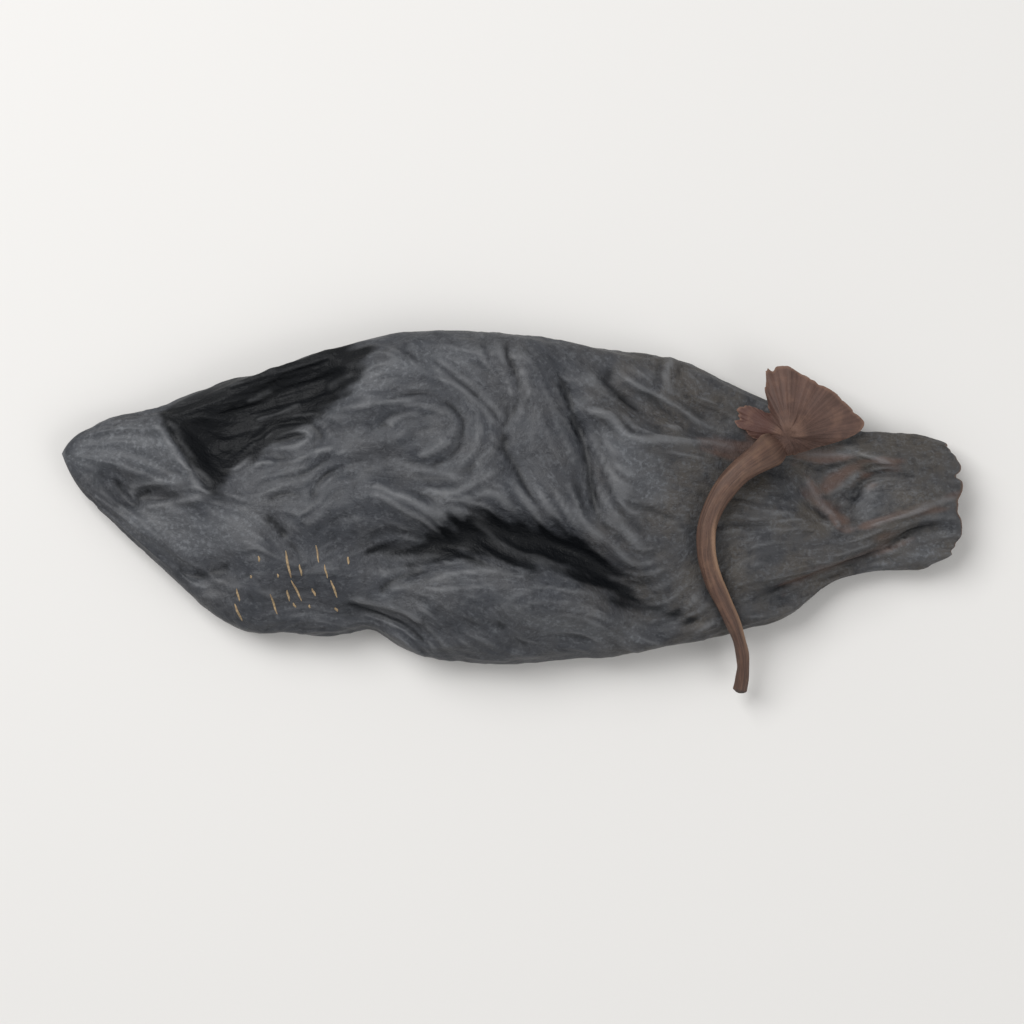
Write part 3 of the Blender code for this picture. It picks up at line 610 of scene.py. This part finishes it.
def skin_finish(skin):
    """Dusty black skin: painted shade in the hollows, which have also lost their bloom, and in the creases;
    crests lightened with wear and a painted highlight; reddish in places, with a leathery grain.
    """
    f = Finish("pod_skin")
    here, flow = f.place(), f.noted("flow", "Vector")
    names = ("bare_and_shaded", "crest", "crease", "rust", "torn", "brown", "pale")
    bare_and_shaded, crest, crease, rust, torn, brown, pale = (f.noted(name) for name in names)
    lines = f.drawn_noise(flow, skin.line / MM, 3.2)
    streaks = f.drawn_noise(flow, 1.0, 2.4, 4.0)
    cloudy, specks = f.noise(here, 6.0, 4.0), f.noise(here, 0.5, 3.0)
    crumple = f.noise(here, 1.3, 4.0, 0.6, 0.5)
    base = f.mix(brown * (cloudy.step(0.3, 0.7) * 0.7 + 0.3), skin.bloom, skin.brown)
    worn = crumple.step(0.52, 0.34) * 0.45 + cloudy.step(0.52, 0.30) * 0.25
    base = f.mix(worn, base, skin.rubbed)
    flecks = (streaks * 0.5 + specks * 0.5).step(0.51, 0.63) * 0.34 + lines.step(0.57, 0.68) * 0.24
    threads = (streaks - 0.5).maths("ABSOLUTE", streaks - 0.5).step(0.022, 0.004) * cloudy.step(0.42, 0.60)
    base = f.mix(flecks + pale * (0.32 + 0.26 * specks.step(0.45, 0.65)), base, skin.dust)
    base = f.mix(threads * 0.16, base, skin.crest)
    base = f.mix(rust, base, skin.rust)
    # Painted shade: the hollows near-black, where the skin has also lost its bloom
    base = f.mix(bare_and_shaded, base, skin.black)
    # Painted shade: the creases darkened towards near-black
    base = f.mix(crease * 0.7, base, skin.black)
    # Painted highlight with some wear: the crests and ridge lines lightened, less in the shaded hollows
    base = f.mix(crest * (0.46 - 0.30 * bare_and_shaded), base, skin.crest)
    base = f.mix(torn, base, skin.torn)
    pores = f.node("ShaderNodeTexVoronoi", {"feature": "DISTANCE_TO_EDGE"},
                   {"Vector": here, "Scale": MM / skin.grain}, "Distance")
    relief = f.bump(pores.step(0.0, 0.45), 0.015)
    relief = f.bump(crumple, 0.22, relief)
    relief = f.bump(streaks, 0.15, relief)
    relief = f.bump(lines, 0.07, relief)
    roughness = skin.roughness + 0.16 * (specks - 0.5)
    return f.shade(Base_Color=base, Roughness=roughness, Normal=relief, Specular_IOR_Level=0.12,
                   Coat_Weight=0.20 - 0.18 * bare_and_shaded, Coat_Roughness=0.42)


def split_finish(skin):
    """Dry pale flesh, redder in places."""
    f = Finish("pale_flesh")
    tone = f.noise(f.place(), 0.35, 3.0)
    base = f.mix(tone.step(0.35, 0.7), [0.55 * c for c in skin.split], skin.split)
    base = f.mix(f.noise(f.place(), 1.1, 2.0).step(0.5, 0.7) * 0.35, base, skin.rust)
    return f.shade(Base_Color=base, Roughness=0.75, Normal=f.bump(tone, 0.05))


def calyx_finish(cap):
    """Brown papery sheet with faint lines from hub to rim."""
    f = Finish("calyx_sheet")
    spokes = f.noted("spokes", "Vector")
    crest, crease, rim, red = (f.noted(name) for name in ("crest", "crease", "rim", "red"))
    fibres = f.noise(spokes, 0.42, 4.0, 0.6)
    mottle, fine = f.noise(f.place(), 2.2, 4.0), f.noise(f.place(), 0.3, 3.0)
    base = f.mix(fibres.step(0.30, 0.66) * 0.7 + mottle.step(0.3, 0.6) * 0.3, cap.dark, cap.brown)
    base = f.mix(red, base, cap.red)
    base = f.mix(mottle.step(0.50, 0.75) * 0.30 + fine.step(0.55, 0.75) * 0.12, base, cap.pale)
    # Painted shade: the creases darkened
    base = f.mix(crease * 0.5, base, cap.dark)
    # The worn rim paled, and the crests lightened as a painted highlight
    base = f.mix(crest * 0.35 + rim * 0.55, base, cap.pale)
    relief = f.bump(fibres, 0.10)
    relief = f.bump(fine, 0.05, relief)
    roughness = 0.66 + 0.2 * (mottle - 0.5)
    return f.shade(Base_Color=base, Roughness=roughness, Normal=relief, Specular_IOR_Level=0.3)


def stem_finish(stalk):
    """Dry woody skin with lengthwise fibres; one ridge painted tan as a highlight, and the left side and the
    creases painted darker as shade.
    """
    f = Finish("stem_bark")
    fibre = f.noted("fibre", "Vector")
    crest, crease, cut, ridge, root = (f.noted(name) for name in ("crest", "crease", "cut", "ridge", "root"))
    fibres = f.noise(fibre, 0.6, 4.0, 0.6)
    mottle = f.noise(f.place(), 2.0, 4.0)
    base = f.mix(fibres.step(0.32, 0.68) * 0.8 + mottle.step(0.3, 0.7) * 0.2, stalk.dark, stalk.brown)
    base = f.mix(root * 0.8, base, f.mix(fibres.step(0.35, 0.65), stalk.dark, stalk.root))
    # Painted shade: the stem's left side darkened
    base = f.mix(f.noted("left") * 0.55, base, stalk.dark)
    # Painted highlight: the lit ridge in tan, over a paler mottle
    base = f.mix(mottle.step(0.5, 0.8) * 0.22 + ridge * 0.9, base, stalk.tan)
    # Crests lightened as wear and a painted highlight
    base = f.mix(crest * 0.4, base, stalk.tan)
    # Painted shade: the creases darkened
    base = f.mix(crease * 0.6, base, stalk.dark)
    base = f.mix(cut * 0.8, base, stalk.cut)
    relief = f.bump(fibres, 0.12)
    relief = f.bump(f.noise(f.place(), 0.18, 3.0), 0.04, relief)
    roughness = 0.62 + 0.2 * (mottle - 0.5)
    return f.shade(Base_Color=base, Roughness=roughness, Normal=relief, Specular_IOR_Level=0.35)


def floor_finish(tone):
    f = Finish("plain_floor")
    return f.shade(Base_Color=tone, Roughness=0.85, Specular_IOR_Level=0.2)


def wrinkles(skin, x, y, lines, seed):
    """At each (x, y): the wrinkles' height in mm, their fine waves, the ridge lines' painted highlight, and
    the flow.
    """
    flow = flow_field([points for *_, points in lines], seed)
    noises = np.stack([wave_noise(skin.wave / MM, seed + 2), wave_noise(skin.fine_wave / MM, seed + 3)])
    waves, fine, even, odd = read_grid(np.concatenate([drawn_out(noises, flow, 7.0), flow[2:]]), x, y)
    plan = np.stack([x, y, 0 * x], axis=1)
    lively = 0.62 + 0.45 * cloud(plan, 9.0, seed + 4)
    lively_fine = 0.62 + 0.5 * cloud(plan, 5.0, seed + 5)
    height = skin.height / MM * lively * (1 / (1 + (waves / 0.5) ** 2) - 0.4 + 0.25 * waves)
    height += skin.fine_height / MM * lively_fine * (1 / (1 + (fine / 0.75) ** 2) - 0.5 + 0.2 * fine)
    height *= 1 - 0.7 * ease(0.5 + within(CALM_PLACES, x, y) / 2.5)
    wobble, bright = 0.16 * cloud(plan, 1.8, seed + 6), np.zeros(len(x))
    for depth, half_width, apart, points in lines:
        line = plan_line(points)
        near = around(line, x, y, apart + 3.5 * half_width)
        distance, place, _ = nearest_on(line, x[near], y[near])
        across = np.exp(-(np.abs(distance + wobble[near] - apart) / half_width) ** 1.6)
        across *= ease(place / 0.14) * ease((1 - place) / 0.14)
        height[near] -= depth * across
        # The ridge lines are lightened along them as a painted highlight
        bright[near] = np.maximum(bright[near], across * np.clip(-depth / 0.5, 0, 1))
    return height, fine, bright, np.stack([even, odd, 0 * even], axis=1)


class PEPPER_OT_pod(bpy.types.Operator):
    """Make the pod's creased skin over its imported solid"""

    bl_idname = "pepper.pod"
    bl_label = "Pod"

    def execute(self, context):
        skin = context.scene.pepper_skin
        piece = fine_copy("pod", "pod_skin", 2)
        points, facing = places(piece), outward(piece)
        x, y, z = points.T
        box = points.min(axis=0), points.max(axis=0)
        top, fine, bright, flow = wrinkles(skin, x, y, list(SKIN_LINES.values()), 11)
        under, _, _, under_flow = wrinkles(skin, x, y, [], 41)
        upward = ease((facing[:, 2] + 0.35) / 0.7)
        inside = self.in_the_mouth(points, facing)
        off_tip = ease((x - TIP_X) / 7.0)
        height = (top * upward + under * (1 - upward)) * off_tip * (1 - inside)
        height *= 1 - 0.8 * ease((x - 52.0) / 5.0)
        height = np.where(height > 0, height * (1 - self.covered(x, y)), height)
        height = np.where(facing[:, 2] < 0, height * ease((z - 0.05) / 0.6), height)
        height = softened(piece, height[:, None], 1)
        moved = points + (softened(piece, points, 3) - points) * off_tip[:, None]
        moved += facing * (height - 0.4 * inside[:, None])
        moved[:, 0] -= self.torn_away(points)
        put(piece, np.clip(moved, box[0], box[1]))
        stands = bulge(piece, 9)
        lip = ease((facing[:, 0] - 0.45) / 0.35) * ease((x - 50.0) / 3.0)
        rough = 0.35 * fine + 0.6 * cloud(points, 2.2, 71) + 0.25 * cloud(points, 0.9, 72)
        inland = ease((x + 44.0) / 12.0)
        # Painted shade: how far inside the near-black hollows each point is, where the skin has also lost its
        # bloom
        bare_and_shaded = inside_of(SHADED_BLACK_HOLLOWS, x, y) + rough * (0.2 + 0.9 * inland)
        note(piece, "flow", np.where(upward[:, None] > 0.5, flow, under_flow))
        note(piece, "bare_and_shaded", upward * ease(0.5 + bare_and_shaded / (0.9 + 0.7 * inland)))
        # Crests and ridge lines, lightened in the finish as wear and a painted highlight
        note(piece, "crest", np.maximum(ease(stands / 0.11 - 0.25), upward * bright))
        # Creases, darkened in the finish as painted shade
        note(piece, "crease", ease(-stands / 0.14 - 0.2))
        note(piece, "rust", upward * ease(0.35 + (within(RUSTY_PLACES, x, y) + 0.9 * rough) / 1.5) * 0.45)
        note(piece, "pale", upward * ease(0.4 + (within(PALE_PLACES, x, y) + rough) / 3.0))
        note(piece, "brown", 0.3 + 0.7 * ease((x - 2.0) / 24.0))
        note(piece, "torn", np.maximum(lip * 0.8, inside * 0.45))
        finish_piece(piece, skin_finish(skin), "pod_skin", "pod")
        return {"FINISHED"}

    def in_the_mouth(self, points, facing):
        """1 where the skin is the wall of the hollow behind the torn mouth."""
        x, _, z = points.T
        towards = facing[:, 2] * np.sign(3.1 - z)
        return ease((x - MOUTH_X + 14.0) / 2.0) * ease(towards / 0.4) * ease((MOUTH_X - x) / 2.0)

    def covered(self, x, y):
        """1 where the stem or the calyx lies close above, where no wrinkle may rise into it."""
        distance, _, _ = nearest_on(plan_line(STEM_LINE), x, y)
        hub = CALYX_HUB - ORIGIN
        return np.maximum(ease((3.2 - distance) / 1.2), ease((10.5 - np.hypot(x - hub[0], y - hub[1])) / 2.0))

    def torn_away(self, points):
        """How far the edge of the mouth is cut back: a little everywhere, and more at two notches."""
        x, y, z = points.T
        across = points * (0.0, 1.0, 0.6)
        cut = 0.15 * np.clip(cloud(across, 2.0, 81), 0, 1) + 0.06 * np.clip(cloud(across, 0.6, 82), 0, 1)
        for place, wide, deep in ((4.6, 0.40, 0.6), (-5.0, 0.35, 0.4)):
            cut += deep * np.exp(-(((y - place) / wide) ** 2)) * ease((z - 3.0) / 0.8)
        return cut * ease((x - 53.0) / 5.0)


class PEPPER_OT_calyx(bpy.types.Operator):
    """Make the thin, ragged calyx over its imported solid"""

    bl_idname = "pepper.calyx"
    bl_label = "Calyx"

    def execute(self, context):
        cap = context.scene.pepper_calyx
        piece = fine_copy("calyx", "calyx_sheet", 2)
        points, facing = places(piece), outward(piece)
        box = points.min(axis=0), points.max(axis=0)
        dx, dy = (points[:, :2] - CALYX_HUB + ORIGIN).T
        distance, angle = np.hypot(dx, dy), np.arctan2(dy, dx)
        sector = ((angle + math.pi) / (2 * math.pi) * 120).astype(int) % 120
        reach = np.zeros(120)
        np.maximum.at(reach, sector, distance)
        out = distance / reach[sector]
        ring = np.stack([np.cos(angle), np.sin(angle), 0 * angle], axis=1)
        rib = np.cos(cap.ribs * angle + 6.0 * cloud(ring * 9.0, 1.3, 5)) * ease((out - 0.12) / 0.35)
        rib *= 0.5 + 0.5 * cloud(ring * 9.0, 1.0, 12)
        curl = 0.30 * cloud(points * (1, 1, 0), 3.2, 7) * out**2
        moved = points.copy()
        moved[:, 2] += cap.rib_height / MM * rib + curl
        moved[:, 2] -= cap.thinned / MM * facing[:, 2] * ease((out - 0.15) / 0.5)
        moved[:, 2] += 1.7 * ease((4.0 - distance) / 3.6) * ease(facing[:, 2] / 0.4)
        worn = np.clip(cloud(ring * 14.0, 1.0, 8), 0, 1) + 0.5 * np.clip(cloud(ring * 30.0, 1.0, 9), 0, 1)
        worn *= 0.35 + 1.5 * ease(1 - np.abs(np.degrees(angle) - 112.0) / 22.0) + 1.6 * ease(-dx - 1.5)
        back = cap.ragged / MM * worn * ease((out - 0.7) / 0.3)
        moved[:, :2] -= back[:, None] * ring[:, :2]
        put(piece, np.clip(moved, box[0], box[1] + (0, 0, 1.7)))
        stands = bulge(piece, 5)
        note(piece, "spokes", np.stack([np.cos(angle) * 9, np.sin(angle) * 9, distance * 0.08], axis=1))
        # Crests, lightened in the finish as a painted highlight; creases, darkened as painted shade
        note(piece, "crest", ease(stands / 0.08 - 0.2))
        note(piece, "crease", ease(-stands / 0.08 - 0.2))
        note(piece, "rim", ease((out - 0.93) / 0.07))
        note(piece, "red", ease((-dx - 1.5) / 1.5) * ease((5.0 - dy) / 2.0))
        finish_piece(piece, calyx_finish(cap), "calyx", "calyx")
        return {"FINISHED"}


class PEPPER_OT_stem(bpy.types.Operator):
    """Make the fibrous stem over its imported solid, its root flared into the calyx"""

    bl_idname = "pepper.stem"
    bl_label = "Stem"

    def execute(self, context):
        stalk = context.scene.pepper_stem
        piece = fine_copy("stem", "stem_bark", 2)
        points = places(piece)
        box = points.min(axis=0), points.max(axis=0)
        line = plan_line(STEM_LINE)
        _, place, _ = nearest_on(line, points[:, 0], points[:, 1])
        at = place * (len(line) - 1)
        axis = np.stack([np.interp(at, np.arange(len(line)), line[:, k]) for k in range(3)], axis=1)
        out = points - axis
        radius = np.linalg.norm(out, axis=1, keepdims=True)
        heading = out / np.maximum(radius, 0.01)
        angle = np.arctan2(heading[:, 2], heading[:, 0] - heading[:, 1])
        run = 45.0 * place
        ring = np.stack([1.6 * np.cos(angle), 1.6 * np.sin(angle), run / 9.0], axis=1)
        furrows = np.abs(cloud(ring, 0.8, 3)) + 0.5 * np.abs(cloud(ring * (2, 2, 1.5), 0.8, 4))
        knobs = 0.07 * cloud(np.stack([run, 0 * run, 0 * run], axis=1), 2.6, 5)
        # A ridge along one side of the stem: it swells a little, and is painted tan as a highlight
        ridge = ease(1 - np.abs(angle - 0.75) / 0.55)
        ridge *= ease((place - 0.30) / 0.12) * ease((0.86 - place) / 0.14)
        swell = stalk.furrow / MM * (0.35 - furrows) + knobs + 0.14 * ridge
        out = out + heading * swell[:, None]
        root, end = ease((0.18 - place) / 0.18)[:, None], ease((0.08 - place) / 0.08)[:, None]
        wider = stalk.flare * root - 0.9 * end
        moved = axis + out * (1 + np.hstack([wider, wider, -0.5 * root - 0.3 * end]))
        moved += root**2 * (0.6, 0.4, -2.2) + end * (0, 0, -0.8)
        put(piece, np.clip(moved, box[0], box[1] + (1.5, 1.5, 0)))
        stands = bulge(piece, 5)
        note(piece, "root", ease((0.12 - place) / 0.12))
        # The left side, painted darker as shade
        note(piece, "left", ease(-0.3 - np.cos(angle)))
        note(piece, "fibre", ring * (2.2, 2.2, 1.0))
        # Crests, lightened in the finish as wear and a painted highlight
        note(piece, "crest", ease(stands / 0.08 - 0.15))
        # Creases, darkened in the finish as painted shade
        note(piece, "crease", ease(-stands / 0.08 - 0.15))
        note(piece, "ridge", ridge)
        note(piece, "cut", ease((place - 0.985) / 0.012))
        finish_piece(piece, stem_finish(stalk), "stem", "stem")
        return {"FINISHED"}


class PEPPER_OT_splits(bpy.types.Operator):
    """Lay the thin pale splits on the skin"""

    bl_idname = "pepper.splits"
    bl_label = "Splits"

    def execute(self, context):
        skin = context.scene.pepper_skin
        pod = bpy.data.objects["pod_skin"]
        chance = np.random.default_rng(5)
        slivers = []
        for start, end in SPLITS:
            slivers.append(self.sliver(pod, np.array(start) - ORIGIN, np.array(end) - ORIGIN, chance))
        bpy.ops.object.select_all(action="DESELECT")
        for sliver in slivers:
            sliver.select_set(True)
        bpy.context.view_layer.objects.active = slivers[0]
        bpy.ops.object.join()
        piece = bpy.context.active_object
        piece.name = piece.data.name = "skin_splits"
        bpy.ops.object.transform_apply(location=True, rotation=True, scale=True)
        bpy.ops.object.shade_smooth()
        finish_piece(piece, split_finish(skin), "pod_skin")
        return {"FINISHED"}

    def sliver(self, pod, start, end, chance):
        """A thin spindle from start to end, pressed onto the skin."""
        middle, step = (start + end) / 2, end - start
        long = np.linalg.norm(step)
        bpy.ops.mesh.primitive_uv_sphere_add(segments=8, ring_count=14, radius=1.0)
        sliver = bpy.context.active_object
        at = places(sliver) * MM
        wide = chance.uniform(0.12, 0.17)
        along = at[:, 2] * long / 2
        side = at[:, 0] * wide + 0.03 * np.sin(at[:, 2] * 4 + chance.uniform(0, 6))
        heading = step / long
        x = middle[0] + heading[0] * along - heading[1] * side
        y = middle[1] + heading[1] * along + heading[0] * side
        z = np.empty(len(x))
        for k in range(len(x)):
            hit, spot, _, _ = pod.ray_cast(Vector((x[k], y[k], 40.0)) * MM, Vector((0, 0, -1)))
            if not hit:
                raise RuntimeError(f"a split at ({x[k]:.1f}, {y[k]:.1f}) is off the pod")
            z[k] = spot.z / MM
        put(sliver, np.stack([x, y, z + 0.05 * at[:, 1] + 0.015], axis=1))
        return sliver


class PEPPER_OT_stage(bpy.types.Operator):
    """Lay the plain floor, hang the lights and set the camera straight above"""

    bl_idname = "pepper.stage"
    bl_label = "Stage"

    def execute(self, context):
        stage = context.scene.pepper_stage
        bpy.ops.object.select_all(action="DESELECT")
        bpy.ops.mesh.primitive_plane_add(size=3.0, location=(0, 0, 0))
        floor = bpy.context.active_object
        floor.name = "floor"
        floor.data.materials.append(floor_finish(stage.floor))
        self.light("key", stage.key, (-0.30, 0.28, 0.50), 0.42)
        self.light("fill", stage.fill, (0.42, -0.22, 0.40), 0.40)
        world = bpy.data.worlds.new("studio")
        world.use_nodes = True
        world.node_tree.nodes["Background"].inputs["Strength"].default_value = stage.sky
        world.node_tree.nodes["Background"].inputs["Color"].default_value = (1.0, 1.0, 1.0, 1.0)
        context.scene.world = world
        context.scene.view_settings.view_transform = "Standard"
        height = stage.view_width * stage.lens / 36.0
        bpy.ops.object.camera_add(location=(0.0, 0.0, height + 0.006), rotation=(0, 0, 0))
        camera = bpy.context.active_object
        camera.data.lens = stage.lens
        camera.data.clip_start = 0.01
        context.scene.camera = camera
        return {"FINISHED"}

    def light(self, name, power, place, size):
        bpy.ops.object.light_add(type="AREA", location=place)
        lamp = bpy.context.active_object
        lamp.name = name
        lamp.data.energy = power
        lamp.data.size = size
        lamp.rotation_euler = (-Vector(place)).to_track_quat("-Z", "Y").to_euler()


class PEPPER_PT_pieces(bpy.types.Panel):
    """Lists the pieces of the pepper, and their sizes and colours."""

    bl_label = "Dried pepper"
    bl_idname = "PEPPER_PT_pieces"
    bl_space_type = "VIEW_3D"
    bl_region_type = "UI"
    bl_category = "Pepper"

    def draw(self, context):
        for operators, group in PIECES:
            box = self.layout.box()
            for operator in operators:
                box.operator(operator.bl_idname)
            settings = getattr(context.scene, group)
            for name in settings.__annotations__:
                box.prop(settings, name)


GROUPS = {
    "pepper_skin": PepperSkin,
    "pepper_calyx": PepperCalyx,
    "pepper_stem": PepperStem,
    "pepper_stage": PepperStage,
}
PIECES = [
    ((PEPPER_OT_pod, PEPPER_OT_splits), "pepper_skin"),
    ((PEPPER_OT_calyx,), "pepper_calyx"),
    ((PEPPER_OT_stem,), "pepper_stem"),
    ((PEPPER_OT_stage,), "pepper_stage"),
]
OPERATORS = [operator for operators, _ in PIECES for operator in operators]


def register():
    for group in GROUPS.values():
        bpy.utils.register_class(group)
    for shown in (*OPERATORS, PEPPER_PT_pieces):
        bpy.utils.register_class(shown)
    for name, group in GROUPS.items():
        setattr(bpy.types.Scene, name, bpy.props.PointerProperty(type=group))


def unregister():
    for name in GROUPS:
        delattr(bpy.types.Scene, name)
    for shown in (PEPPER_PT_pieces, *reversed(OPERATORS), *GROUPS.values()):
        bpy.utils.unregister_class(shown)


def main():
    register()
    bpy.ops.pepper.stage()
    bpy.ops.pepper.pod()
    bpy.ops.pepper.splits()
    bpy.ops.pepper.calyx()
    bpy.ops.pepper.stem()


if __name__ == "__main__":
    main()
